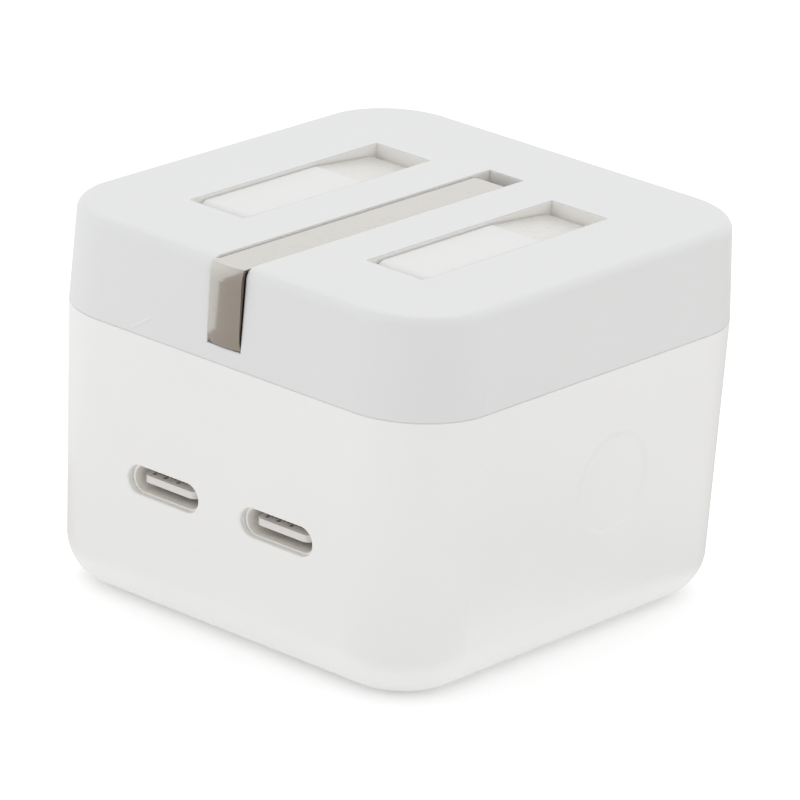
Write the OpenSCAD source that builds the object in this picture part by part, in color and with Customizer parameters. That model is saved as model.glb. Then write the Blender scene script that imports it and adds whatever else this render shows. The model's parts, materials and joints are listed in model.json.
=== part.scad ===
/* [Casing] */
// Width of the casing at the seam between body and cap
body_w = 49.12; // [46:0.01:54]
// Depth of the casing at the seam, from the port face to the back
body_d = 49.72; // [48.5:0.01:54]
// Height from the base to the plug face
total_h = 37.88; // [37.2:0.01:39]
// Height of the cap, from the seam to the plug face
cap_h = 9.88; // [9.7:0.01:10.1]
// Radius of the four upright corners at the seam
corner_r = 8.6; // [7.5:0.1:9.5]
// Radius round the foot of the body
foot_r = 4.5; // [3:0.1:5]
// Radius round the edge of the plug face
brow_r = 1.06; // [0.6:0.02:1.2]
// Slope of the body walls, narrower towards the base, in degrees
body_draft = 1.6; // [0.5:0.1:2]
// Slope of the cap walls, narrower towards the plug face, in degrees
cap_draft = 2.7; // [1:0.1:3]
// Wall of the body
body_wall = 1.8; // [1.6:0.1:2.2]
// Floor of the body
base_t = 1.8; // [1.2:0.1:2.2]
// Wall of the cap
cap_wall = 2.4; // [2.2:0.1:2.8]
// Skin of the plug face
skin_t = 1.3; // [1.1:0.1:1.4]
// Clearance round the tongue of the cap inside the body
tongue_gap = 0.1; // [0.05:0.05:0.2]
// Rounding of the edge of the body at the seam
seam_r = 0.08; // [0.05:0.01:0.12]
// Rounding of the lips of the port mouths
rim_r = 0.25; // [0.15:0.05:0.3]

/* [Plug pins] */
// Spacing between the live and neutral pins, centre to centre
pin_pitch = 22.2; // [22.0:0.05:22.4]
// Distance of the raised earth pin behind the line of the other two
earth_pitch = 22.23; // [22.1:0.01:22.3]
// Width of the live and neutral pins
pin_w = 6.35; // [6.2:0.05:6.4]
// Thickness of the live and neutral pins
pin_t = 4; // [3.8:0.05:4]
// Reach of the live and neutral pins above the plug face
pin_reach = 17.7; // [17:0.1:18]
// Height of the insulating sleeve above the plug face
sleeve_reach = 8.87; // [8:0.01:9.5]
// Fall of the pin tips towards their ends
tip_fall = 0.78; // [0:0.02:1]
// Thickness of the earth pin
earth_t = 3.98; // [3.8:0.01:4.05]
// Width of the earth pin
earth_w = 7.95; // [7.8:0.01:8.05]
// Reach of the earth pin above the plug face
earth_reach = 23.54; // [23:0.01:23.8]
// Radius of the domed end of the earth pin, from side to side
nose_r = 6.5; // [5.4:0.1:8]
// Radius at which that end falls away towards its two narrow edges
nose_fall_r = 4.5; // [4:0.1:5]
// Height over which it falls away at each narrow edge
nose_band = 1.6; // [1.2:0.1:2]
// Depth of the folded live and neutral pins below the plug face
pin_sink = 0.35; // [0.25:0.01:0.5]
// Depth of the folded earth pin below the plug face
earth_sink = 0.15; // [0.1:0.01:0.3]

/* [Fold] */
// Reach of the folded earth pin past the cap wall at the plug face
nose_out = 0.81; // [0.6:0.01:0.9]
// Height of the live and neutral hinge above the underside of the folded pin
pin_hinge_up = 0.17; // [0.1:0.01:0.3]
// Length of the pin heel behind its hinge
heel_l = 3.3; // [3:0.1:3.4]
// Rounding of the pin heel
heel_r = 1.2; // [1:0.1:1.5]
// Length of the earth pin tail behind its hinge
tail_l = 6.17; // [5.8:0.01:6.3]
// Radius of the live and neutral hubs
pin_hub_r = 2.95; // [2.9:0.01:3]
// Radius of the earth hub
earth_hub_r = 3; // [2.95:0.01:3.05]
// Radius at which the drive pegs turn
peg_turn_r = 2.3; // [2.25:0.01:2.35]
// Radius of a drive peg
peg_r = 0.6; // [0.5:0.05:0.65]
// Clearance between a drive peg and its slot
peg_gap = 0.12; // [0.1:0.01:0.2]
// Radius of the live and neutral shafts
pin_shaft_r = 0.8; // [0.7:0.05:0.85]
// Radius of the earth shaft
earth_shaft_r = 1; // [0.9:0.05:1.05]
// Radial clearance of a turning shaft
shaft_gap = 0.05; // [0.02:0.01:0.08]
// Side clearance between a pin and its window
window_gap = 0.245; // [0.2:0.005:0.3]
// End clearance between a folded pin tip and its window
window_end = 0.31; // [0.25:0.01:0.5]
// End clearance between a folded pin heel and its window
window_lead = 0.97; // [0.9:0.01:1.1]
// Side clearance between the earth pin and its slot
slot_gap = 0.1; // [0.08:0.01:0.2]
// Clearance behind the raised earth pin in its slot
slot_end = 0.2; // [0.15:0.01:0.3]
// Wall of the slot round the earth pin
slot_wall = 1.1; // [0.9:0.05:1.2]

/* [Mechanism] */
// Thickness of the cradle plate
cradle_t = 1.2; // [1:0.1:1.4]
// Clearance between the edge of the cradle plate and the cap wall
cradle_gap = 1.76; // [1.7:0.02:2]
// Thickness of the bridge between the two slider bars
bridge_h = 0.85; // [0.7:0.05:0.9]
// Clearance above and below that bridge
bridge_gap = 0.265; // [0.25:0.005:0.3]
// Inner face of the slider bars, from the middle
bar_in = 4.7; // [4.6:0.05:4.9]
// Outer face of the slider bars, from the middle
bar_out = 6.4; // [6.2:0.05:6.45]
// Outer face of the earth carrier cheeks, from the middle
cheek_out = 3.9; // [3.6:0.1:4]
// Wall of the wells round the pins
well_wall = 1; // [0.8:0.05:1.05]
// Thickness of the sprung metal strips
strip_t = 0.25; // [0.2:0.01:0.3]

/* [Ports] */
// Spacing between the two ports, centre to centre
port_pitch = 14.3; // [13.5:0.1:15]
// Height of the port centres
port_z = 13.5; // [12:0.1:15]
// Width of a port mouth
mouth_w = 8.9; // [8.7:0.05:9]
// Height of a port mouth
mouth_h = 2.9; // [2.8:0.05:3.1]
// Thickness of the casing in front of a port shell
mouth_lip = 0.7; // [0.6:0.05:1]
// Width of a port shell
port_w = 8.94; // [8.8:0.01:9]
// Height of a port shell
port_h = 3.2; // [3.15:0.01:3.26]
// Sheet thickness of a port shell
port_sheet = 0.3; // [0.2:0.05:0.35]
// Length of a port shell
port_l = 7.3; // [6.8:0.1:7.6]
// Width of the port tongue
tongue_w = 6.69; // [6.5:0.01:6.8]
// Thickness of the port tongue
tongue_t = 0.7; // [0.6:0.05:0.75]
// Setback of the tongue end inside its shell
tongue_back = 0.2; // [0.1:0.05:0.8]
// Rounding of the two front corners of the tongue
tongue_r = 0.8; // [0.3:0.1:1]
// Contacts on each face of a tongue
contact_count = 12; // [8:1:12]

/* [Boards] */
// Height of the underside of the main board
board_z = 4.5; // [4:0.1:5]
// Thickness of the boards
board_t = 1.2; // [1:0.1:1.4]
// Depth of the shallow round dish on the side wall
dish_depth = 0.12; // [0.08:0.01:0.3]
// Radius of the shallow round dish
dish_r = 5.1; // [4:0.1:6]

/* [Hidden] */
$fn = 64;
eps = 0.5;
lap = 0.2;
clear = 0.3;
seam_z = total_h - cap_h;
body_slope = tan(body_draft);
cap_slope = tan(cap_draft);
axis_x = body_w / 2 - corner_r;
axis_y = body_d / 2 - corner_r;
skin_z = total_h - skin_t;
front_y = -body_d / 2;
face_y = front_y + cap_slope * cap_h;

pin_x = pin_pitch / 2;
pin_top = total_h - pin_sink;
pin_low = pin_top - pin_t;
pin_axis_z = pin_low + pin_hinge_up;
pin_drop = total_h - pin_axis_z;
earth_top = total_h - earth_sink;
earth_low = earth_top - earth_w;
earth_drop = total_h - earth_low;
nose_y = face_y - nose_out;
earth_axis_y = nose_y + earth_reach + earth_drop;
tail_y = earth_axis_y + tail_l;
pin_line_y = earth_axis_y + earth_w / 2 - earth_pitch;
pin_axis_y = pin_line_y + pin_t / 2 - pin_hinge_up;
tip_y = pin_axis_y + pin_drop + pin_reach;
sleeve_y = pin_axis_y + pin_drop + sleeve_reach;
heel_y = pin_axis_y - heel_l;
heel_turn_r = norm([heel_l - heel_r, pin_t - pin_hinge_up - heel_r]) + heel_r;

window_half = pin_w / 2 + window_gap;
window_front = heel_y - window_lead;
window_back = tip_y + window_end;
slot_half = earth_t / 2 + slot_gap;
slot_out = slot_half + slot_wall;
slot_in_y = front_y + cap_wall / 2;
slot_back = earth_axis_y + earth_w + slot_end;
slot_low = earth_low - slot_gap;
peg_off = peg_turn_r * sin(45);
peg_slot = 2 * (peg_r + peg_gap);
peg_wall_in = pin_x - window_half - well_wall - eps;
peg_arc_in = 1.5;
peg_arc_out = 3.15;
pin_boss_out = pin_x + window_half + 1.8;
shaft_boss_r = 2;
pocket_floor = pin_low - clear;
pocket_low = pocket_floor - well_wall;
well_front = pin_axis_y - heel_turn_r - eps;
slot_floor_back = well_front - 0.6;
slot_wall_back = earth_axis_y - earth_hub_r - 0.6;

plate_top = earth_low - bridge_h - 2 * bridge_gap;
plate_z = plate_top - cradle_t;
bridge_low = plate_top + bridge_gap;
bridge_top = earth_low - bridge_gap;
pad_top = pin_axis_z - peg_turn_r - peg_r - 0.8;
tail_r = norm([tail_l, earth_w]);
tail_back = earth_axis_y + tail_r + clear;
tail_floor = earth_low - tail_l - clear;
hub_bay_half = cheek_out + clear;
hub_bay_front = earth_axis_y - earth_hub_r - 0.8;
hub_bay_back = earth_axis_y + earth_hub_r + clear;
hub_floor = earth_low - earth_hub_r - 0.6;
earth_boss_in = bar_out + 1;
earth_boss_out = earth_boss_in + 1.6;
earth_boss_r = 2;
bar_low = earth_low + earth_shaft_r + 0.27;
bar_top = pin_axis_z - 0.4;
bar_end = 2.4;
boss_x = axis_x + 1.6;
boss_y = axis_y + 1.6;
boss_r = 2.3;
screw_r = 1;
screw_l = 5.8;
cradle_half_x = body_w / 2 - cap_wall - cradle_gap;
cradle_half_y = body_d / 2 - cap_wall - cradle_gap;

contact_half = 1.6;
contact_pitch = 0.5;
contact_in = 1.3;
contact_leg_y = well_front - 0.4 - strip_t;
contact_leg_low = plate_z - 2.4;
lead_r = 0.7;
lead_y = contact_leg_y + 1.7;

port_face_y = front_y + body_slope * (seam_z - port_z);
port_front = port_face_y + mouth_lip;
port_low = port_z - port_h / 2;
port_high = port_z + port_h / 2;
port_half = port_pitch / 2 + port_w / 2 + 1.3;
port_board_back = port_front + 8.5;
spigot_r = 0.8;
post_r = 1.8;
post_y = port_front + 4.2;
dish_y = 3.4;
dish_z = 16.4;

board_top = board_z + board_t;
main_half = body_w / 2 - body_wall - 3.76;
main_front = lead_y - 3.4;
main_back = body_d / 2 - body_wall - 3;
pad_in = 3;
pad_r = 2;
choke_x = 12.6;
choke_y = main_back - 8.2;
choke_r = 4.8;
choke_l = 5.2;
can_x = 12.4;
can_lead = 4.5;
can_gap = 0.8;
input_r = (choke_y - choke_l / 2 - 1.76 - main_front - can_lead - can_gap) / 4;
input_h = 15.4;
output_x = 11.2;
output_r = 3.1;
output_h = 11.4;
core_x = -6.4;
core_front = main_front + 14.5;
core_d = main_back - 9.96 - core_front;
core_y = core_front + core_d / 2;
core_half = 8.5;
core_lift = 0.6;
core_h = tail_floor - 2.6 - board_top - core_lift;
core_arm = 2.2;
coil_r = core_d / 2 - 0.9;
switch_y = main_front + 5.6;
switch_h = 1.4;
sheet_t = 0.6;
flange_t = 0.8;
plate_y = switch_y + 5.7;
output_lead = 8.6;
disc_r = 3.2;
choke_hole_r = 2;
coil_t = 2.5;
barrier_h = 14;

// Half section of a drafted wall: straight side through the seam, arcs at foot and brow
module wall_profile(z0, z1, inset, slope, foot, brow) {
    w0 = corner_r - inset + slope * (z0 - seam_z);
    w1 = corner_r - inset + slope * (z1 - seam_z);
    stretch = sqrt(1 + slope * slope);
    foot_x = w0 + slope * foot - foot * stretch;
    brow_x = w1 - slope * brow - brow * stretch;
    foot_points = foot > 0
        ? [[foot_x, z0], [foot_x, z0 + foot], [foot_x + foot / stretch, z0 + foot - foot * slope / stretch]]
        : [[w0, z0]];
    brow_points = brow > 0
        ? [[brow_x + brow / stretch, z1 - brow - brow * slope / stretch], [brow_x, z1 - brow], [brow_x, z1]]
        : [[w1, z1]];
    polygon(concat([[0, z0]], foot_points, brow_points, [[0, z1]]));
    if (foot > 0) intersection() {
        translate([foot_x, z0 + foot]) circle(foot);
        translate([0, z0]) square([corner_r, z1 - z0]);
    }
    if (brow > 0) intersection() {
        translate([brow_x, z1 - brow]) circle(brow);
        translate([0, z0]) square([corner_r, z1 - z0]);
    }
}

// Block with drafted sides and round corners, measured inwards from the outer wall
module drafted_block(z0, z1, inset, slope, foot = 0, brow = 0) {
    translate([-axis_x, -axis_y, z0]) cube([2 * axis_x, 2 * axis_y, z1 - z0]);
    for (side = [0, 1]) mirror([side, 0, 0]) {
        translate([axis_x, axis_y, 0]) rotate([90, 0, 0])
            linear_extrude(2 * axis_y) wall_profile(z0, z1, inset, slope, foot, brow);
        for (end = [0, 1]) mirror([0, end, 0]) translate([axis_x, axis_y, 0])
            rotate_extrude(angle = 90) wall_profile(z0, z1, inset, slope, foot, brow);
    }
    for (end = [0, 1]) mirror([0, end, 0]) translate([-axis_x, axis_y, 0]) rotate([90, 0, 90])
        linear_extrude(2 * axis_x) wall_profile(z0, z1, inset, slope, foot, brow);
}

// Plate with round corners, its lower face at z
module round_plate(half_x, half_y, r, z, t) {
    translate([-half_x, r - half_y, z]) cube([2 * half_x, 2 * (half_y - r), t]);
    translate([r - half_x, -half_y, z]) cube([2 * (half_x - r), 2 * half_y, t]);
    for (sx = [-1, 1], sy = [-1, 1])
        translate([sx * (half_x - r), sy * (half_y - r), z]) cylinder(h = t, r = r);
}

// Box from its two opposite corners
module span(a, b) {
    translate(a) cube(b - a);
}

// Round bar along the width, between two places
module cross_bar(x0, x1, y, z, r) {
    translate([x0, y, z]) rotate([0, 90, 0]) cylinder(h = x1 - x0, r = r);
}

// Bar with round ends across the width, for port mouths and shells
module port_bar(x, y0, y1, w, h) {
    translate([x, y0, port_z]) rotate([-90, 0, 0]) {
        translate([-(w - h) / 2, -h / 2, 0]) cube([w - h, h, y1 - y0]);
        for (side = [-1, 1]) translate([side * (w - h) / 2, 0, 0]) cylinder(h = y1 - y0, r = h / 2);
    }
}

// Port mouth with a rounded lip, square to the sloping front wall
module mouth_profile() {
    translate([0, -eps]) square([mouth_h / 2, mouth_lip + 2 * eps]);
    translate([mouth_h / 2, 0]) outer_corner(rim_r);
}

module port_mouth(x) translate([x, port_face_y, port_z]) rotate([body_draft, 0, 0]) rotate([-90, 0, 0]) {
    flat = (mouth_w - mouth_h) / 2;
    for (side = [-1, 1]) translate([side * flat, 0, 0]) rotate_extrude() mouth_profile();
    side_outline(-flat, flat) for (face = [0, 1]) mirror([face, 0]) mouth_profile();
}

// Outline of a folded pin seen from the side, extruded across the width
module side_outline(x0, x1) {
    translate([x0, 0, 0]) rotate([90, 0, 90]) linear_extrude(x1 - x0) children();
}

module body_shell() color("white") {
    difference() {
        union() {
            difference() {
                drafted_block(0, seam_z, 0, body_slope, foot = foot_r, brow = seam_r);
                drafted_block(base_t, seam_z + eps, body_wall, body_slope, foot = foot_r - base_t);
            }
            for (sx = [-1, 1], y = [main_front + pad_in, main_back - pad_in])
                translate([sx * (main_half - pad_in), y, base_t / 2])
                    cylinder(h = board_z - base_t / 2, r = pad_r);
            // Post with a spigot under the port board, between the two ports
            translate([0, post_y, base_t / 2]) cylinder(h = port_low - board_t - base_t / 2, r = post_r);
            translate([0, post_y, base_t / 2]) cylinder(h = port_low - base_t / 2, r = spigot_r);
            // Collar that the port shells enter from inside
            span([-port_half, port_front - mouth_lip + 0.4, port_low - 1],
                 [port_half, port_front + 1.6, port_high + 1]);
        }
        for (side = [-1, 1]) {
            port_mouth(side * port_pitch / 2);
            port_bar(side * port_pitch / 2, port_front, port_front + 3, port_w + 0.1, port_h + 0.1);
        }
        // Notch that seats the port board under the collar
        span([-port_half - eps, port_front + 0.6, port_low - 1 - eps],
             [port_half + eps, port_front + 2, port_low + 0.05]);
        for (sx = [-1, 1], y = [main_front + pad_in, main_back - pad_in])
            translate([sx * (main_half - pad_in), y, base_t + 0.4]) cylinder(h = board_z, r = screw_r);
        translate([body_w / 2 - body_slope * (seam_z - dish_z), dish_y, dish_z])
            rotate([0, body_draft, 0]) translate([-dish_depth, 0, 0]) rotate([0, 90, 0]) {
                cylinder(h = dish_depth, r1 = dish_r - 4 * dish_depth, r2 = dish_r);
                translate([0, 0, dish_depth]) cylinder(h = 2, r = dish_r);
            }
    }
}

module cap_shell() color("whitesmoke") {
    difference() {
        union() {
            difference() {
                drafted_block(seam_z, total_h, 0, -cap_slope, brow = brow_r);
                drafted_block(seam_z - eps, skin_z, cap_wall, -cap_slope);
            }
            difference() {
                drafted_block(seam_z - 1.4, seam_z + 1, body_wall + tongue_gap, 0);
                drafted_block(seam_z - 1.4 - eps, seam_z + 1 + eps, body_wall + tongue_gap + 1, 0);
            }
            // Walls of the earth slot, and its floor near the front
            span([-slot_out, slot_in_y, plate_top], [slot_out, slot_floor_back, skin_z + lap]);
            span([-slot_out, slot_in_y, earth_low + clear], [slot_out, slot_wall_back, skin_z + lap]);
            for (side = [0, 1]) mirror([side, 0, 0]) {
                // Well round a folded pin, with a boss for the outer end of its shaft
                span([pin_x - window_half - well_wall, well_front - well_wall, pocket_low],
                     [pin_x + window_half + well_wall, window_back + well_wall, skin_z + lap]);
                cross_bar(pin_x + window_half, pin_boss_out, pin_axis_y, pin_axis_z, shaft_boss_r);
                for (end = [-1, 1])
                    translate([boss_x, end * boss_y, plate_top])
                        cylinder(h = skin_z + lap - plate_top, r = boss_r);
            }
        }
        span([-slot_half, front_y - eps, slot_low], [slot_half, slot_back, total_h + eps]);
        for (side = [0, 1]) mirror([side, 0, 0]) {
            span([pin_x - window_half, window_front, pocket_floor],
                 [pin_x + window_half, window_back, total_h + eps]);
            span([pin_x - window_half, well_front, pocket_low - eps],
                 [pin_x + window_half, pin_axis_y + pin_hub_r + clear, skin_z]);
            cross_bar(peg_wall_in, pin_boss_out + lap, pin_axis_y, pin_axis_z, pin_shaft_r);
            // Arc that the drive peg sweeps through the inner wall
            intersection() {
                difference() {
                    cross_bar(peg_wall_in, pin_x - window_half + lap, pin_axis_y, pin_axis_z, peg_arc_out);
                    cross_bar(peg_wall_in - eps, pin_x, pin_axis_y, pin_axis_z, peg_arc_in);
                }
                span([0, pin_axis_y - peg_arc_out - eps, pocket_low - eps],
                     [pin_x, pin_axis_y + peg_arc_out + eps, pin_axis_z - peg_off + peg_r + 0.2]);
            }
            for (end = [-1, 1])
                translate([boss_x, end * boss_y, plate_top - eps]) cylinder(h = screw_l - 0.7, r = screw_r);
        }
    }
}

module pin_cradle() color("gainsboro") {
    difference() {
        union() {
            round_plate(cradle_half_x, cradle_half_y, 5, plate_z, cradle_t);
            span([-hub_bay_half - 1, hub_bay_front - 1.2, hub_floor - 1.1],
                 [hub_bay_half + 1, hub_bay_back + 1, plate_z]);
            span([-slot_half - 1.2, earth_axis_y - 1.4, tail_floor - 1],
                 [slot_half + 1.2, tail_back + 1, plate_z]);
            for (side = [0, 1]) mirror([side, 0, 0]) {
                span([pin_x - window_half - 0.6, well_front - 0.4, plate_top - lap],
                     [pin_x + window_half + 0.6, pin_axis_y + pin_hub_r + 0.5, pad_top]);
                span([earth_boss_in, earth_axis_y - earth_boss_r, plate_top - lap],
                     [earth_boss_out, earth_axis_y + earth_boss_r, earth_low]);
                cross_bar(earth_boss_in, earth_boss_out, earth_axis_y, earth_low, earth_boss_r);
            }
        }
        span([-hub_bay_half, hub_bay_front, hub_floor],
             [hub_bay_half, hub_bay_back, plate_top + eps]);
        span([-slot_half, earth_axis_y - clear, tail_floor], [slot_half, tail_back, plate_top + eps]);
        for (side = [0, 1]) mirror([side, 0, 0]) {
            cross_bar(earth_boss_in - eps, earth_boss_out + eps, earth_axis_y, earth_low,
                earth_shaft_r + shaft_gap);
            span([pin_x - contact_half - lap, contact_leg_y - 0.25, plate_z - eps],
                 [pin_x + contact_half + lap, contact_leg_y + strip_t, pad_top + eps]);
            for (end = [-1, 1])
                translate([boss_x, end * boss_y, plate_z - eps]) cylinder(h = 3, r = screw_r + 0.1);
        }
    }
}

module cradle_screws() color("silver") {
    for (sx = [-1, 1], sy = [-1, 1]) translate([sx * boss_x, sy * boss_y, plate_z - 1.2]) {
        difference() {
            cylinder(h = 1.2, r = 1.9);
            for (turn = [0, 90]) rotate([0, 0, turn])
                translate([-1.1, -0.2, -eps]) cube([2.2, 0.4, eps + 0.6]);
        }
        cylinder(h = screw_l, r = screw_r);
    }
}

// Side outline of the earth pin, with a hub round the hinge and a clipped tail
module earth_outline() {
    difference() {
        union() {
            translate([nose_y - eps, earth_low]) square([tail_y - nose_y + eps, earth_w]);
            translate([earth_axis_y, earth_low]) circle(earth_hub_r);
        }
        translate([tail_y, earth_top]) mirror([0, 1]) mirror([1, 0]) outer_corner(0.6);
    }
}

// Half section of the domed end of the earth pin, from the middle of its plan radius
module nose_profile() intersection() {
    translate([0, earth_low]) square([nose_r, earth_w]);
    union() {
        translate([0, earth_low + nose_band]) square([nose_r, earth_w - 2 * nose_band]);
        for (z = [earth_low + nose_band, earth_top - nose_band])
            translate([nose_r - nose_fall_r, z]) circle(nose_fall_r);
    }
}

// What a rounded corner takes away, with the corner at the origin
module outer_corner(r) {
    difference() {
        translate([-eps, -eps]) square(r + eps);
        translate([r, r]) circle(r);
    }
}

module earth_pin() color("silver") {
    nose_mid = nose_y + nose_r;
    difference() {
        intersection() {
            side_outline(-earth_t / 2, earth_t / 2) earth_outline();
            union() {
                translate([0, nose_mid, 0]) rotate_extrude() nose_profile();
                span([-earth_t, nose_mid, earth_low - earth_hub_r - eps],
                     [earth_t, tail_y + eps, earth_top + eps]);
            }
        }
        cross_bar(-earth_t, earth_t, earth_axis_y, earth_low, earth_shaft_r);
    }
}

module earth_carrier() color("dimgray") {
    for (side = [0, 1]) mirror([side, 0, 0]) difference() {
        union() {
            cross_bar(earth_t / 2, cheek_out, earth_axis_y, earth_low, earth_hub_r);
            cross_bar(earth_t / 2 + 0.4, bar_out - 0.1, earth_axis_y - peg_off,
                earth_low + peg_off, peg_r);
        }
        cross_bar(earth_t / 2 - 1, cheek_out + 1, earth_axis_y, earth_low, earth_shaft_r);
    }
}

module earth_shaft() color("lightgray") {
    cross_bar(-earth_boss_in - 1.5, earth_boss_in + 1.5, earth_axis_y, earth_low, earth_shaft_r);
}

// Core of a live or neutral pin that the sleeve wraps
module pin_core() {
    difference() {
        side_outline(-2.4, 2.4) translate([heel_y + heel_r + 0.4, pin_low + 0.9])
            square([sleeve_y - heel_y - heel_r + 0.6, pin_t - 1.6]);
        cross_bar(-5, 5, pin_axis_y, pin_axis_z, pin_shaft_r + 0.7);
    }
}

// Tip of a live or neutral pin, falling towards its end, with its edges rounded
module pin_tip() {
    intersection() {
        side_outline(-pin_w / 2, pin_w / 2) difference() {
            polygon([
                [sleeve_y, pin_low], [tip_y, pin_low], [tip_y, pin_top - tip_fall], [sleeve_y, pin_top]
            ]);
            translate([tip_y, pin_low]) mirror([1, 0]) outer_corner(0.9);
            translate([tip_y, pin_top - tip_fall]) mirror([0, 1]) mirror([1, 0]) outer_corner(0.7);
        }
        translate([0, 0, pin_low - 1]) linear_extrude(pin_t + 2) difference() {
            translate([-pin_w / 2, sleeve_y]) square([pin_w, tip_y - sleeve_y]);
            for (side = [0, 1]) mirror([side, 0])
                translate([-pin_w / 2, tip_y]) mirror([0, 1]) outer_corner(1);
        }
    }
}

module flat_pin() color("silver") {
    pin_core();
    pin_tip();
}

// Insulating sleeve with its hub and the drive peg on the inner side
module pin_sleeve(inner) color("white") {
    difference() {
        union() {
            side_outline(-pin_w / 2, pin_w / 2) difference() {
                union() {
                    translate([heel_y, pin_low]) square([sleeve_y - heel_y, pin_t]);
                    translate([pin_axis_y, pin_axis_z]) circle(pin_hub_r);
                }
                translate([heel_y, pin_top]) mirror([0, 1]) outer_corner(heel_r);
            }
            mirror([inner > 0 ? 1 : 0, 0, 0])
                cross_bar(-pin_x + bar_in + 0.1, -pin_w / 2 + 0.4, pin_axis_y - peg_off,
                    pin_axis_z - peg_off, peg_r);
        }
        pin_core();
        cross_bar(-5, 5, pin_axis_y, pin_axis_z, pin_shaft_r + shaft_gap);
    }
}

module pin_shaft() color("lightgray") {
    cross_bar(-window_half - 0.9, window_half + 1.6, pin_axis_y, pin_axis_z, pin_shaft_r);
}

module neutral_pin() translate([-pin_x, 0, 0]) flat_pin();
module live_pin() translate([pin_x, 0, 0]) flat_pin();
module neutral_sleeve() translate([-pin_x, 0, 0]) pin_sleeve(1);
module live_sleeve() translate([pin_x, 0, 0]) pin_sleeve(-1);
module neutral_shaft() mirror([1, 0, 0]) translate([pin_x, 0, 0]) pin_shaft();
module live_shaft() translate([pin_x, 0, 0]) pin_shaft();

// Yoke that ties the three hinges: one fork on each side for every drive peg
module link_slider() color("darkgray") {
    pin_peg_y = pin_axis_y - peg_off;
    earth_peg_y = earth_axis_y - peg_off;
    pin_peg_low = pin_axis_z - peg_turn_r - peg_r;
    for (side = [0, 1]) mirror([side, 0, 0]) side_outline(bar_in, bar_out) difference() {
        union() {
            translate([pin_peg_y - bar_end, bridge_low]) square([2 * bar_end, bar_top - bridge_low]);
            translate([pin_peg_y, bar_low]) square([earth_peg_y + bar_end - pin_peg_y, bar_top - bar_low]);
        }
        translate([pin_peg_y - peg_slot / 2, pin_peg_low - 0.25]) square([peg_slot, 5]);
        translate([earth_peg_y - peg_slot / 2, bar_low - 1])
            square([peg_slot, earth_low + peg_turn_r + peg_r + 1.2 - bar_low]);
    }
    span([-bar_in - lap, pin_peg_y - bar_end, bridge_low],
         [bar_in + lap, pin_peg_y + bar_end, bridge_top]);
}

// Leaf that holds the earth hub at both ends of its turn
module detent_spring() color("silver") {
    leaf_y = earth_axis_y - earth_hub_r - 0.08 - strip_t;
    span([-1.5, leaf_y, hub_floor], [1.5, leaf_y + strip_t, earth_low - 0.5]);
    span([-1.5, leaf_y, hub_floor], [1.5, leaf_y + 2.4, hub_floor + strip_t]);
}

// Contact strip on the cradle pad, under the heel of the raised pin, with a leg to its lead
module pin_contact() color("goldenrod") {
    span([-contact_half, contact_leg_y, pad_top],
         [contact_half, pin_axis_y + pin_hub_r - 0.4, pad_top + strip_t]);
    span([-contact_half, contact_leg_y, contact_leg_low],
         [contact_half, contact_leg_y + strip_t, pad_top + strip_t]);
    span([-contact_half / 2, contact_leg_y, contact_leg_low],
         [contact_half / 2, lead_y + 0.8, contact_leg_low + strip_t]);
}

module pin_lead() {
    translate([0, lead_y, board_top]) cylinder(h = contact_leg_low - board_top, r = lead_r);
}

module neutral_contact() translate([-pin_x, 0, 0]) pin_contact();
module live_contact() translate([pin_x, 0, 0]) pin_contact();
module neutral_lead() color("royalblue") translate([-pin_x, 0, 0]) pin_lead();
module live_lead() color("saddlebrown") translate([pin_x, 0, 0]) pin_lead();

module port_shell(x) color("silver") difference() {
    port_bar(x, port_front + 0.05, port_front + port_l, port_w, port_h);
    port_bar(x, port_front - eps, port_front + port_l - port_sheet,
        port_w - 2 * port_sheet, port_h - 2 * port_sheet);
}

module port_tongue(x) color("ghostwhite") {
    back = port_front + port_l - port_sheet;
    port_bar(x, back - 1.6, back, port_w - 2 * port_sheet, port_h - 2 * port_sheet);
    translate([x, 0, port_z - tongue_t / 2]) linear_extrude(tongue_t) difference() {
        translate([-tongue_w / 2, port_front + tongue_back])
            square([tongue_w, back - 1 - port_front - tongue_back]);
        for (side = [0, 1]) mirror([side, 0])
            translate([-tongue_w / 2, port_front + tongue_back]) outer_corner(tongue_r);
    }
}

module port_contacts(x) color("gold") {
    for (i = [0 : contact_count - 1], face = [0, 1])
        translate([x + (i - (contact_count - 1) / 2) * contact_pitch, port_front + contact_in, port_z])
            mirror([0, 0, face]) translate([-contact_pitch / 4, 0, tongue_t / 2])
                cube([contact_pitch / 2, 3.2, 0.06]);
}

module port_shell_left() port_shell(-port_pitch / 2);
module port_shell_right() port_shell(port_pitch / 2);
module port_tongue_left() port_tongue(-port_pitch / 2);
module port_tongue_right() port_tongue(port_pitch / 2);
module port_contacts_left() port_contacts(-port_pitch / 2);
module port_contacts_right() port_contacts(port_pitch / 2);

module port_board() color("darkgreen") difference() {
    span([-port_half + 0.2, port_front + 0.8, port_low - board_t],
         [port_half - 0.2, port_board_back, port_low]);
    translate([0, post_y, port_low - board_t - eps]) cylinder(h = board_t + 2 * eps, r = spigot_r + 0.1);
}

// Pin header that carries the port board's power up from the main board
module board_link() color("dimgray") {
    span([-5, port_board_back - 2, board_top], [5, port_board_back - 0.2, port_low - board_t]);
}

module main_board() color("darkgreen") difference() {
    span([-main_half, main_front, board_z], [main_half, main_back, board_top]);
    for (sx = [-1, 1], y = [main_front + pad_in, main_back - pad_in])
        translate([sx * (main_half - pad_in), y, board_z - eps])
            cylinder(h = board_t + 2 * eps, r = screw_r + 0.1);
}

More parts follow.
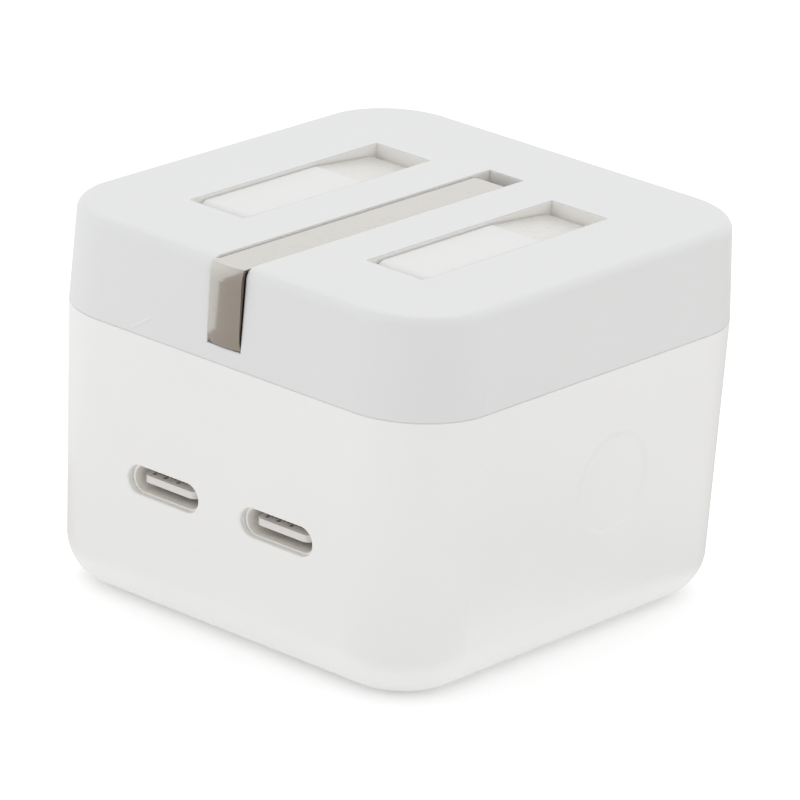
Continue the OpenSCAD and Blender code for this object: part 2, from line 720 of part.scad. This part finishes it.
module board_screws() color("silver") {
    for (sx = [-1, 1], y = [main_front + pad_in, main_back - pad_in])
        translate([sx * (main_half - pad_in), y, board_top]) {
        difference() {
            cylinder(h = 1, r = 1.8);
            for (turn = [0, 90]) rotate([0, 0, turn])
                translate([-1.1, -0.2, 0.5]) cube([2.2, 0.4, 1]);
        }
        translate([0, 0, base_t + 0.6 - board_top]) cylinder(h = board_top - base_t - 0.4, r = screw_r);
    }
}

// Two E shaped halves: a closed frame of ferrite with a round middle leg
module transformer_core() color("dimgray") translate([core_x, core_y, board_top]) {
    difference() {
        translate([-core_half, -core_d / 2, core_lift]) cube([2 * core_half, core_d, core_h]);
        translate([core_arm - core_half, -core_d / 2 - eps, core_lift + core_arm])
            cube([2 * (core_half - core_arm), core_d + 2 * eps, core_h - 2 * core_arm]);
    }
    translate([0, 0, core_lift + core_arm - clear])
        cylinder(h = core_h - 2 * (core_arm - clear), r = coil_r - coil_t - 0.1);
}

module transformer_winding() color("orange") translate([core_x, core_y, board_top]) {
    coil_z = core_lift + core_arm + 0.1;
    coil_h = core_h - 2 * core_arm - 0.2;
    difference() {
        union() {
            translate([0, 0, coil_z]) cylinder(h = coil_h, r = coil_r);
            for (z = [coil_z, coil_z + coil_h - flange_t])
                translate([0, 0, z]) cylinder(h = flange_t, r = coil_r + sheet_t);
        }
        translate([0, 0, coil_z - eps]) cylinder(h = coil_h + 2 * eps, r = coil_r - coil_t);
    }
    for (side = [-1, 1], i = [-1, 0, 1])
        translate([i * 3, side * (core_d / 2 + 0.6), 0]) cylinder(h = coil_z + flange_t / 2, r = 0.35);
    for (side = [-1, 1])
        translate([-4, side * (core_d / 2 - 0.5) - 1.6, coil_z]) cube([8, 3.2, flange_t]);
}

// Rubber bunged can standing on the board
module can(r, h) {
    cylinder(h = sheet_t, r = r - 0.7);
    translate([0, 0, sheet_t]) cylinder(h = h - sheet_t, r = r);
}

module input_capacitor_left() color("black")
    translate([can_x, main_front + can_lead + input_r, board_top]) can(input_r, input_h);
module input_capacitor_right() color("black")
    translate([can_x, main_front + can_lead + 3 * input_r + can_gap, board_top]) can(input_r, input_h);
module output_capacitor_left() color("teal")
    translate([-output_x - output_r - clear, main_front + output_lead, board_top]) can(output_r, output_h);
module output_capacitor_right() color("teal")
    translate([-output_x + output_r + clear, main_front + output_lead, board_top]) can(output_r, output_h);

module common_mode_choke() color("darkolivegreen")
    translate([choke_x, choke_y, board_top + choke_r]) rotate([90, 0, 0]) difference() {
        translate([0, 0, -choke_l / 2]) cylinder(h = choke_l, r = choke_r);
        translate([0, 0, -choke_l]) cylinder(h = 2 * choke_l, r = choke_hole_r);
    }

module x_capacitor() color("goldenrod")
    translate([1.2, main_back - 7.4, board_top]) cube([4.6, 6.6, 10.4]);
module y_capacitor() color("cornflowerblue")
    translate([-11.4, main_back - 2.4, board_top + disc_r]) rotate([90, 0, 0]) cylinder(h = 2.4, r = disc_r);
module fuse() color("dimgray") translate([-4.4, main_back - 3.6, board_top]) cylinder(h = 7.4, r = 3);
module bridge_rectifier() color("black")
    span([5.9, main_front + 2.6, board_top], [8.3, switch_y, board_top + 5]);
module power_switch() color("black")
    span([-4, switch_y, board_top], [4.2, plate_y - clear, board_top + switch_h]);

// Bent plate that draws heat from the power switch
module heat_spreader() color("silver") {
    span([-3.8, switch_y + lap, board_top + switch_h], [4, plate_y, board_top + switch_h + sheet_t]);
    span([-3.8, plate_y, board_top + switch_h], [4, plate_y + sheet_t, board_top + 12]);
}

// Folded sheet that parts the mains side from the output side
module insulating_barrier() color("khaki") {
    span([5.4, main_front + 5, board_top], [5.8, choke_y - clear, board_top + barrier_h]);
}

body_shell();
cap_shell();
pin_cradle();
cradle_screws();
earth_pin();
earth_carrier();
earth_shaft();
live_pin();
neutral_pin();
live_sleeve();
neutral_sleeve();
live_shaft();
neutral_shaft();
link_slider();
detent_spring();
live_contact();
neutral_contact();
live_lead();
neutral_lead();
port_shell_left();
port_shell_right();
port_tongue_left();
port_tongue_right();
port_contacts_left();
port_contacts_right();
port_board();
board_link();
main_board();
board_screws();
transformer_core();
transformer_winding();
input_capacitor_left();
input_capacitor_right();
common_mode_choke();
x_capacitor();
y_capacitor();
fuse();
bridge_rectifier();
output_capacitor_left();
output_capacitor_right();
power_switch();
heat_spreader();
insulating_barrier();
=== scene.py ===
# A small white mains charger whose three pins fold flat into its face.
import json
import math

import bpy
from mathutils import Matrix, Vector

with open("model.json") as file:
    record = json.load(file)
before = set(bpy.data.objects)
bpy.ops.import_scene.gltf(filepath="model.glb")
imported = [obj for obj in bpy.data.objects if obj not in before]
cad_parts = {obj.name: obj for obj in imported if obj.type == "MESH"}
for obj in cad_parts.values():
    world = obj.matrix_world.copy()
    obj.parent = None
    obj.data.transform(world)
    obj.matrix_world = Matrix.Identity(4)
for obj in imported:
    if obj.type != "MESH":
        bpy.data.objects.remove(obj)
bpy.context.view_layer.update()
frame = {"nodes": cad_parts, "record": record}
nodes = frame["nodes"]
print("frame loaded:", len(nodes), "nodes")


def feedNode(tree, node, feeds):
    # a feed is the socket of another node, a colour without alpha or a plain value
    for name, feed in feeds.items():
        socket = node.inputs[name]
        if isinstance(feed, bpy.types.NodeSocket):
            tree.links.new(feed, socket)
        elif socket.type == "RGBA":
            socket.default_value = (*feed, 1)
        else:
            socket.default_value = feed


def addNode(tree, kind, feeds=None, **settings):
    node = tree.nodes.new(kind)
    for name, value in settings.items():
        setattr(node, name, value)
    feedNode(tree, node, feeds or {})
    return node


def calculate(tree, operation, *terms):
    return addNode(tree, "ShaderNodeMath", dict(enumerate(terms)), operation=operation).outputs["Value"]


def combine(tree, operation, *terms, result="Vector"):
    # a dot product or a distance comes out as the result "Value"
    return addNode(tree, "ShaderNodeVectorMath", dict(enumerate(terms)), operation=operation).outputs[result]


def stretch(tree, vector, share):
    feeds = {0: vector, "Scale": share}
    return addNode(tree, "ShaderNodeVectorMath", feeds, operation="SCALE").outputs["Vector"]


def tint(tree, color, mask, tone):
    # 6 and 7 are the two colour inputs of the mix, and 2 is its colour output
    return addNode(tree, "ShaderNodeMix", {"Factor": mask, 6: color, 7: tone}, data_type="RGBA").outputs[2]


def newMaterial(name):
    material = bpy.data.materials.new(name)
    material.use_nodes = True
    tree = material.node_tree
    tree.nodes.clear()
    shader = addNode(tree, "ShaderNodeBsdfPrincipled")
    addNode(tree, "ShaderNodeOutputMaterial", {"Surface": shader.outputs["BSDF"]})
    return material, tree, shader


def newGroup(name, inputs, outputs):
    # an input has a label, a kind and a starting value, an output has a label and a kind
    group = bpy.data.node_groups.new(name, "ShaderNodeTree")
    for label, kind, value in inputs:
        socket = group.interface.new_socket(name=label, in_out="INPUT", socket_type="NodeSocket" + kind)
        socket.default_value = value
    for label, kind in outputs:
        group.interface.new_socket(name=label, in_out="OUTPUT", socket_type="NodeSocket" + kind)
    return group, addNode(group, "NodeGroupInput").outputs, addNode(group, "NodeGroupOutput")


def objectPlace(tree):
    return addNode(tree, "ShaderNodeTexCoord").outputs["Object"]


def noise(tree, place, scale, detail):
    feeds = {"Vector": place, "Scale": scale, "Detail": detail}
    return addNode(tree, "ShaderNodeTexNoise", feeds).outputs["Fac"]


def buildMouldedGrain():
    # fine spark eroded texture with broad, faint tone patches
    group, given, result = newGroup(
        "mouldedGrain",
        [("Color", "Color", (0.8, 0.8, 0.8, 1)), ("Grain Scale", "Float", 2600), ("Patch Scale", "Float", 90),
         ("Patch Depth", "Float", 0.03), ("Roughness", "Float", 0.45), ("Roughness Spread", "Float", 0.08)],
        [("Color", "Color"), ("Roughness", "Float"), ("Height", "Float")])
    place = objectPlace(group)
    patch = noise(group, place, given["Patch Scale"], 4)
    centred = calculate(group, "SUBTRACT", patch, 0.5)
    tone = calculate(group, "MULTIPLY_ADD", centred, given["Patch Depth"], 1)
    feedNode(group, result, {
        "Color": stretch(group, given["Color"], tone),
        "Roughness": calculate(group, "MULTIPLY_ADD", centred, given["Roughness Spread"], given["Roughness"]),
        "Height": noise(group, place, given["Grain Scale"], 3),
    })
    return group


def buildPlatedWear():
    # drawn lines along the pin with small dull specks in the plating
    group, given, result = newGroup(
        "platedWear",
        [("Color", "Color", (0.7, 0.7, 0.7, 1)), ("Tarnish", "Color", (0.4, 0.35, 0.3, 1)),
         ("Line Scale", "Float", 900), ("Line Dullness", "Float", 0.08), ("Speck Scale", "Float", 1500),
         ("Speck Amount", "Float", 0.3), ("Roughness", "Float", 0.32)],
        [("Color", "Color"), ("Roughness", "Float"), ("Height", "Float")])
    place = objectPlace(group)
    drawn = addNode(group, "ShaderNodeMapping", {"Vector": place, "Scale": (1, 0.06, 1)}).outputs["Vector"]
    lines = noise(group, drawn, given["Line Scale"], 5)
    # only the highest parts of the noise are specks
    feeds = {"Value": noise(group, place, given["Speck Scale"], 2), "From Min": 0.56, "From Max": 0.72}
    specks = addNode(group, "ShaderNodeMapRange", feeds).outputs["Result"]
    amount = calculate(group, "MULTIPLY", specks, given["Speck Amount"])
    feedNode(group, result, {
        "Color": tint(group, given["Color"], amount, given["Tarnish"]),
        "Roughness": calculate(group, "MULTIPLY_ADD", lines, given["Line Dullness"], given["Roughness"]),
        "Height": lines,
    })
    return group


def buildScuffLine():
    # soft mask along a straight line between two places on a piece
    group, given, result = newGroup(
        "scuffLine",
        [("Start", "Vector", (0, 0, 0)), ("End", "Vector", (0.01, 0, 0)), ("Width", "Float", 0.0001)],
        [("Mask", "Float")])
    along = combine(group, "SUBTRACT", given["End"], given["Start"])
    offset = combine(group, "SUBTRACT", objectPlace(group), given["Start"])
    reach = combine(group, "DOT_PRODUCT", offset, along, result="Value")
    whole = combine(group, "DOT_PRODUCT", along, along, result="Value")
    share = addNode(group, "ShaderNodeMath", {0: reach, 1: whole}, operation="DIVIDE", use_clamp=True)
    foot = stretch(group, along, share.outputs["Value"])
    away = combine(group, "DISTANCE", offset, foot, result="Value")
    feeds = {"Value": away, "From Max": given["Width"], "To Min": 1, "To Max": 0}
    fade = addNode(group, "ShaderNodeMapRange", feeds, interpolation_type="SMOOTHSTEP")
    feedNode(group, result, {"Mask": fade.outputs["Result"]})
    return group


def buildBoxMask():
    # one inside a box on a piece, none outside it
    group, given, result = newGroup(
        "boxMask",
        [("Middle", "Vector", (0, 0, 0)), ("Half Size", "Vector", (0.001, 0.001, 0.001))],
        [("Mask", "Float")])
    away = combine(group, "ABSOLUTE", combine(group, "SUBTRACT", objectPlace(group), given["Middle"]))
    spare = combine(group, "SUBTRACT", given["Half Size"], away)
    x, y, z = addNode(group, "ShaderNodeSeparateXYZ", {"Vector": spare}).outputs
    least = calculate(group, "MINIMUM", calculate(group, "MINIMUM", x, y), z)
    feedNode(group, result, {"Mask": calculate(group, "GREATER_THAN", least, 0)})
    return group


mouldedGrain = buildMouldedGrain()
platedWear = buildPlatedWear()
scuffLine = buildScuffLine()
boxMask = buildBoxMask()
print("grain, wear, scuff and box groups are built")


def addScuffs(tree, color, scuffs):
    # each scuff tints the piece along its own line
    for scuff in scuffs:
        feeds = {"Start": scuff["start"], "End": scuff["end"], "Width": scuff["width"]}
        line = addNode(tree, "ShaderNodeGroup", feeds, node_tree=scuffLine)
        amount = calculate(tree, "MULTIPLY", line.outputs["Mask"], scuff["amount"])
        color = tint(tree, color, amount, scuff["color"])
    return color


def addTintBoxes(tree, color, tintBoxes):
    # each box tints what it holds of the piece: painted light on the well walls, painted shade on the earth
    # pin's flank, and the dark contact ends
    for tintBox in tintBoxes:
        low, high = Vector(tintBox["low"]), Vector(tintBox["high"])
        feeds = {"Middle": (low + high) / 2, "Half Size": (high - low) / 2}
        box = addNode(tree, "ShaderNodeGroup", feeds, node_tree=boxMask)
        color = tint(tree, color, box.outputs["Mask"], tintBox["color"])
    return color


def plasticMaterial(name, look):
    material, tree, shader = newMaterial(name)
    feeds = {"Color": look["color"], "Roughness": look["roughness"]}
    grain = addNode(tree, "ShaderNodeGroup", feeds, node_tree=mouldedGrain).outputs
    color = addScuffs(tree, grain["Color"], look.get("scuffs", ()))
    color = addTintBoxes(tree, color, look.get("tintBoxes", ()))
    bump = addNode(tree, "ShaderNodeBump", {"Height": grain["Height"], "Distance": 0.00002, "Strength": 0.5})
    if "edge" in look:
        # sharp edges catch the light as if they had this radius
        soft = addNode(tree, "ShaderNodeBevel", {"Radius": look["edge"]}, samples=6)
        feedNode(tree, bump, {"Normal": soft.outputs["Normal"]})
    feedNode(tree, shader, {
        "Base Color": color, "Roughness": grain["Roughness"], "Normal": bump.outputs["Normal"],
        "Specular IOR Level": look.get("specular", 0.5),
    })
    return material


def metalMaterial(name, look):
    material, tree, shader = newMaterial(name)
    feeds = {"Color": look["color"], "Tarnish": look["tarnish"], "Roughness": look["roughness"],
             "Speck Amount": look.get("specks", 0.3)}
    wear = addNode(tree, "ShaderNodeGroup", feeds, node_tree=platedWear).outputs
    bump = addNode(tree, "ShaderNodeBump", {"Height": wear["Height"], "Distance": 0.00001, "Strength": 0.4})
    feedNode(tree, shader, {
        "Base Color": addTintBoxes(tree, wear["Color"], look.get("tintBoxes", ())),
        "Roughness": wear["Roughness"], "Normal": bump.outputs["Normal"],
        "Metallic": look.get("metallic", 1),
    })
    return material


def boxOf(nodeName):
    # lowest and highest corner, in the node's own space, which moves with its body
    corners = nodes[nodeName].bound_box
    return Vector(corners[0]), Vector(corners[6])


# The walls of the windows and the slot are painted paler and warmer than the face: painted light that
# brightens these recesses
wellWallPaintedLight = {
    "color": (0.95, 0.935, 0.9), "rim": 0.00004, "depth": 0.00884,
    # how far the tint goes past each pin's box: to its sides, to the front and to the back
    "past": {
        "live_pin": (0.000275, 0.0033, 0.0005),
        "neutral_pin": (0.000275, 0.0033, 0.0005),
        "earth_pin": (0.00012, -0.0012, 0.008),
    },
}


# boxes of painted light over the walls around each pin
def wallPaintedLight(walls):
    top = boxOf("cap_shell")[1].z - walls["rim"]
    tintBoxes = []
    for pinName, (side, front, back) in walls["past"].items():
        low, high = boxOf(pinName)
        tintBoxes.append({
            "low": (low.x - side, low.y - front, top - walls["depth"]),
            "high": (high.x + side, high.y + back, top), "color": walls["color"],
        })
    return tintBoxes


# The contacts start as dark ends on the tongue, just inside the mouth
contactEnds = {
    "color": (0.24, 0.21, 0.19), "width": 0.0004, "front": 0.000555, "length": 0.0005,
    "low": 0.00025, "high": 0.0004,  # above the tongue's middle
    "shifts": (-0.00255, -0.00115, 0.00045),  # sideways from its middle
}


def contactStains(ends):
    tintBoxes = []
    for side in ("left", "right"):
        low, high = boxOf("port_tongue_" + side)
        middle = (low + high) / 2
        front = low.y + ends["front"]
        for shift in ends["shifts"]:
            x = middle.x + shift
            tintBoxes.append({
                "low": (x - ends["width"] / 2, front, middle.z + ends["low"]),
                "high": (x + ends["width"] / 2, front + ends["length"], middle.z + ends["high"]),
                "color": ends["color"],
            })
    return tintBoxes


# Painted shade: the flank of the earth pin is darkened beside its domed end, where it stands in the slot's
# shadow
flankShade = {"color": (0.2, 0.17, 0.145), "skin": 0.00005, "length": 0.001, "height": 0.00803}


def flankPaintedShade(shade):
    low, high = boxOf("earth_pin")
    return {
        "low": (high.x - shade["skin"], low.y - shade["skin"], high.z - shade["height"]),
        "high": (high.x + shade["skin"], low.y + shade["length"], high.z - shade["skin"]),
        "color": shade["color"],
    }


plasticLooks = {
    "casingBody": {"color": (0.81, 0.81, 0.802), "roughness": 0.36, "specular": 0.9, "edge": 0.00015},
    "casingCap": {
        "color": (0.71, 0.714, 0.715), "roughness": 0.36, "specular": 0.9, "edge": 0.00025,
        "scuffs": (
            # a light scratch with a darker side, and a small yellowed nick
            {"start": (-0.01164, -0.0248, 0.0283), "end": (-0.0093, -0.02474, 0.0298), "width": 0.00022,
             "amount": 0.35, "color": (0.62, 0.63, 0.65)},
            {"start": (-0.01168, -0.0248, 0.0285), "end": (-0.0094, -0.02474, 0.03), "width": 0.00014,
             "amount": 0.5, "color": (0.84, 0.84, 0.83)},
            {"start": (-0.0156, -0.02472, 0.0282), "end": (-0.0154, -0.02474, 0.02815), "width": 0.00018,
             "amount": 0.6, "color": (0.6, 0.55, 0.42)},
        ),
        # painted light: the walls of the windows and the slot are paler than the face
        "tintBoxes": wallPaintedLight(wellWallPaintedLight),
    },
    "pinSleeve": {"color": (0.75, 0.75, 0.745), "roughness": 0.4},
    "innerPlastic": {"color": (0.6, 0.6, 0.6), "roughness": 0.5},
    "linkPlastic": {"color": (0.3, 0.3, 0.31), "roughness": 0.5},
    "liveWire": {"color": (0.25, 0.12, 0.05), "roughness": 0.35},
    "neutralWire": {"color": (0.05, 0.15, 0.45), "roughness": 0.35},
    "portTongue": {"color": (0.72, 0.7, 0.68), "roughness": 0.4, "tintBoxes": contactStains(contactEnds)},
    "circuitBoard": {"color": (0.03, 0.16, 0.07), "roughness": 0.35},
    "ferrite": {"color": (0.06, 0.06, 0.06), "roughness": 0.6},
    "winding": {"color": (0.7, 0.42, 0.08), "roughness": 0.35},
    "canSleeve": {"color": (0.03, 0.035, 0.05), "roughness": 0.3},
    "filmBox": {"color": (0.6, 0.42, 0.08), "roughness": 0.3},
    "ceramic": {"color": (0.08, 0.2, 0.5), "roughness": 0.3},
    "moulding": {"color": (0.03, 0.03, 0.03), "roughness": 0.5},
    "barrierFilm": {"color": (0.6, 0.5, 0.3), "roughness": 0.4},
}
metalLooks = {
    "pinMetal": {
        "color": (0.65, 0.63, 0.59), "tarnish": (0.5, 0.46, 0.4), "roughness": 0.08, "specks": 0.15,
        # painted shade on the earth pin's flank beside its end
        "tintBoxes": (flankPaintedShade(flankShade),),
    },
    "tipMetal": {
        "color": (0.76, 0.75, 0.725), "tarnish": (0.54, 0.52, 0.48), "roughness": 0.3, "specks": 0.25,
        "metallic": 0.8,
    },
    "portShell": {
        "color": (0.99, 0.96, 0.91), "tarnish": (0.8, 0.75, 0.69), "roughness": 0.4, "specks": 0.2,
        "metallic": 0.1,
    },
    "steel": {"color": (0.6, 0.58, 0.55), "tarnish": (0.4, 0.36, 0.32), "roughness": 0.25},
    "springMetal": {"color": (0.75, 0.62, 0.4), "tarnish": (0.5, 0.4, 0.25), "roughness": 0.25},
    "contactMetal": {"color": (0.35, 0.28, 0.2), "tarnish": (0.2, 0.15, 0.1), "roughness": 0.3},
    "heatPlate": {"color": (0.75, 0.75, 0.75), "tarnish": (0.5, 0.5, 0.5), "roughness": 0.3},
}
materialOfSlot = {
    "casing_plastic": "casingBody", "sleeve_plastic": "pinSleeve", "pin_metal": "pinMetal",
    "inner_plastic": "innerPlastic", "link_plastic": "linkPlastic", "steel": "steel",
    "spring_metal": "springMetal", "live_wire": "liveWire", "neutral_wire": "neutralWire",
    "tongue_plastic": "portTongue", "contact_metal": "contactMetal", "board": "circuitBoard",
    "ferrite": "ferrite", "winding": "winding", "can_sleeve": "canSleeve", "film_box": "filmBox",
    "ceramic": "ceramic", "moulding": "moulding", "heat_plate": "heatPlate", "barrier_film": "barrierFilm",
}
# pieces whose finish differs from the rest of their slot
materialOfNode = {
    "cap_shell": "casingCap", "port_shell_left": "portShell", "port_shell_right": "portShell",
    "live_pin": "tipMetal", "neutral_pin": "tipMetal",
}
finishes = {name: plasticMaterial(name, look) for name, look in plasticLooks.items()}
finishes.update({name: metalMaterial(name, look) for name, look in metalLooks.items()})

for entry in frame["record"]["subparts"]:
    nodeName = entry["node"]
    finish = materialOfNode.get(nodeName, materialOfSlot[entry["material_slot"]])
    slots = nodes[nodeName].data.materials
    slots.clear()
    slots.append(finishes[finish])
print("materials on", len(nodes), "nodes")


# A long lens, low in front of the port face and to its right
cameraSettings = {
    "target": (0, 0, 0.018), "azimuth": 40.177, "elevation": 20.512, "roll": 3.28,
    "right": 0.000468, "up": 0.000428, "distance": 0.597417, "focal": 282.36,
}


def makeCamera(view):
    azimuth, elevation, roll = (math.radians(view[key]) for key in ("azimuth", "elevation", "roll"))
    back = Vector((math.sin(azimuth) * math.cos(elevation), -math.cos(azimuth) * math.cos(elevation),
                   math.sin(elevation)))
    flatRight = Vector((math.cos(azimuth), math.sin(azimuth), 0))
    flatUp = back.cross(flatRight)
    right = math.cos(roll) * flatRight + math.sin(roll) * flatUp
    up = math.cos(roll) * flatUp - math.sin(roll) * flatRight
    place = Vector(view["target"]) + view["right"] * right + view["up"] * up + view["distance"] * back
    data = bpy.data.cameras.new("camera")
    data.lens = view["focal"]
    data.sensor_fit = "HORIZONTAL"
    data.sensor_width = 36
    data.clip_start = 0.01
    data.clip_end = 20
    camera = bpy.data.objects.new("camera", data)
    camera.matrix_world = Matrix.Translation(place) @ Matrix((right, up, back)).transposed().to_4x4()
    bpy.context.scene.collection.objects.link(camera)
    bpy.context.scene.camera = camera


makeCamera(cameraSettings)
print("camera is set")


# A white room for the plastic, with tones that show only where something shiny mirrors it
roomSettings = {
    "white": (1, 1, 1),
    "brightSide": Vector((-0.60, 0.25, 0.76)).normalized(),  # up to the left and behind
    # from straight away from the bright side, through brown, up to it
    "tones": ((0.08, (0.03, 0.03, 0.03)), (0.2, (0.44, 0.40, 0.36)), (0.41, (0.48, 0.44, 0.40)),
              (0.492, (0.52, 0.48, 0.44)), (0.508, (0.77, 0.76, 0.75)), (0.75, (1, 1, 1))),
    # a greyer sheet hangs overhead, and the pale floor close by shines back from below
    "sheets": ({"from": 0.8, "to": 0.95, "color": (0.6, 0.59, 0.57)},
               {"from": -0.69, "to": -0.73, "color": (0.92, 0.92, 0.91)}),
    # a dark flag beyond the near corner takes a little light off the plastic
    "flagSide": Vector((0.64, -0.77, 0.1)).normalized(), "flagStart": 0.6, "flagDepth": 0.25,
}


def buildRoomTone(room):
    group, given, result = newGroup(
        "roomTone", [("Direction", "Vector", (0, 0, 1)), ("Bright Side", "Vector", (0, 0, 1))],
        [("Color", "Color")])
    direction = combine(group, "NORMALIZE", given["Direction"])
    facing = combine(group, "DOT_PRODUCT", direction, given["Bright Side"], result="Value")
    ramp = addNode(group, "ShaderNodeValToRGB", {"Fac": calculate(group, "MULTIPLY_ADD", facing, 0.5, 0.5)})
    stops = ramp.color_ramp.elements
    stops[0].position, stops[0].color = room["tones"][0][0], (*room["tones"][0][1], 1)
    for position, tone in room["tones"][1:]:
        stops.new(position).color = (*tone, 1)
    height = addNode(group, "ShaderNodeSeparateXYZ", {"Vector": direction}).outputs["Z"]
    color = ramp.outputs["Color"]
    for sheet in room["sheets"]:
        feeds = {"Value": height, "From Min": sheet["from"], "From Max": sheet["to"]}
        share = addNode(group, "ShaderNodeMapRange", feeds).outputs["Result"]
        color = tint(group, color, share, sheet["color"])
    feedNode(group, result, {"Color": color})
    return group


roomTone = buildRoomTone(roomSettings)


def addRoomTone(tree, direction):
    feeds = {"Direction": direction, "Bright Side": roomSettings["brightSide"]}
    return addNode(tree, "ShaderNodeGroup", feeds, node_tree=roomTone).outputs["Color"]


def makeWorld(room):
    world = bpy.data.worlds.new("studio")
    bpy.context.scene.world = world
    world.use_nodes = True
    tree = world.node_tree
    direction = addNode(tree, "ShaderNodeTexCoord").outputs["Generated"]
    ray = addNode(tree, "ShaderNodeLightPath").outputs
    facing = combine(tree, "DOT_PRODUCT", direction, room["flagSide"], result="Value")
    feeds = {"Value": facing, "From Min": room["flagStart"], "To Max": room["flagDepth"]}
    flag = addNode(tree, "ShaderNodeMapRange", feeds, interpolation_type="SMOOTHSTEP").outputs["Result"]
    shade = calculate(tree, "MULTIPLY", flag, ray["Is Diffuse Ray"])
    plain = tint(tree, room["white"], shade, (0, 0, 0))
    color = tint(tree, plain, ray["Is Glossy Ray"], addRoomTone(tree, direction))
    feedNode(tree, tree.nodes["Background"], {"Color": color, "Strength": 1})


# Pale floor that runs out of the picture on every side
floorSettings = {
    "reach": 6, "drop": 0.00002, "color": (0.96, 0.96, 0.96), "roughness": 0.8, "specular": 0.1,
    "glow": 0.17, "mirroredFrom": (0, 0, 0.034),
}


def makeFloor(floor):
    reach = floor["reach"]
    mesh = bpy.data.meshes.new("floor")
    corners = [(-reach, -reach, 0), (reach, -reach, 0), (reach, reach, 0), (-reach, reach, 0)]
    mesh.from_pydata(corners, [], [(0, 1, 2, 3)])
    plane = bpy.data.objects.new("floor", mesh)
    plane.location.z = -floor["drop"]
    bpy.context.scene.collection.objects.link(plane)
    material, tree, shader = newMaterial("paleFloor")
    feedNode(tree, shader, {
        "Base Color": floor["color"], "Roughness": floor["roughness"],
        "Specular IOR Level": floor["specular"],
        "Emission Color": (1, 1, 1), "Emission Strength": floor["glow"],
    })
    # mirrored in the metal, the floor takes the tone of the room
    spot = addNode(tree, "ShaderNodeNewGeometry").outputs["Position"]
    tone = addRoomTone(tree, combine(tree, "SUBTRACT", spot, floor["mirroredFrom"]))
    glow = addNode(tree, "ShaderNodeEmission", {"Color": tone})
    ray = addNode(tree, "ShaderNodeLightPath").outputs
    feeds = {0: ray["Is Glossy Ray"], 1: shader.outputs["BSDF"], 2: glow.outputs["Emission"]}
    blend = addNode(tree, "ShaderNodeMixShader", feeds)
    feedNode(tree, tree.nodes["Material Output"], {"Surface": blend.outputs["Shader"]})
    mesh.materials.append(material)


# Wide and weak, high on the left
topLight = {"place": (-0.3, 0.2, 0.9), "target": (0, 0, 0.02), "size": 0.8, "power": 0.9}


def makeLight(name, lamp):
    data = bpy.data.lights.new(name, "AREA")
    data.shape = "SQUARE"
    data.size = lamp["size"]
    data.energy = lamp["power"]
    light = bpy.data.objects.new(name, data)
    light.location = lamp["place"]
    aim = Vector(lamp["target"]) - Vector(lamp["place"])
    light.rotation_euler = aim.to_track_quat("-Z", "Y").to_euler()
    bpy.context.scene.collection.objects.link(light)


makeFloor(floorSettings)
makeWorld(roomSettings)
makeLight("topLight", topLight)
bpy.context.scene.view_settings.view_transform = "Standard"
print("room, floor and light are set")
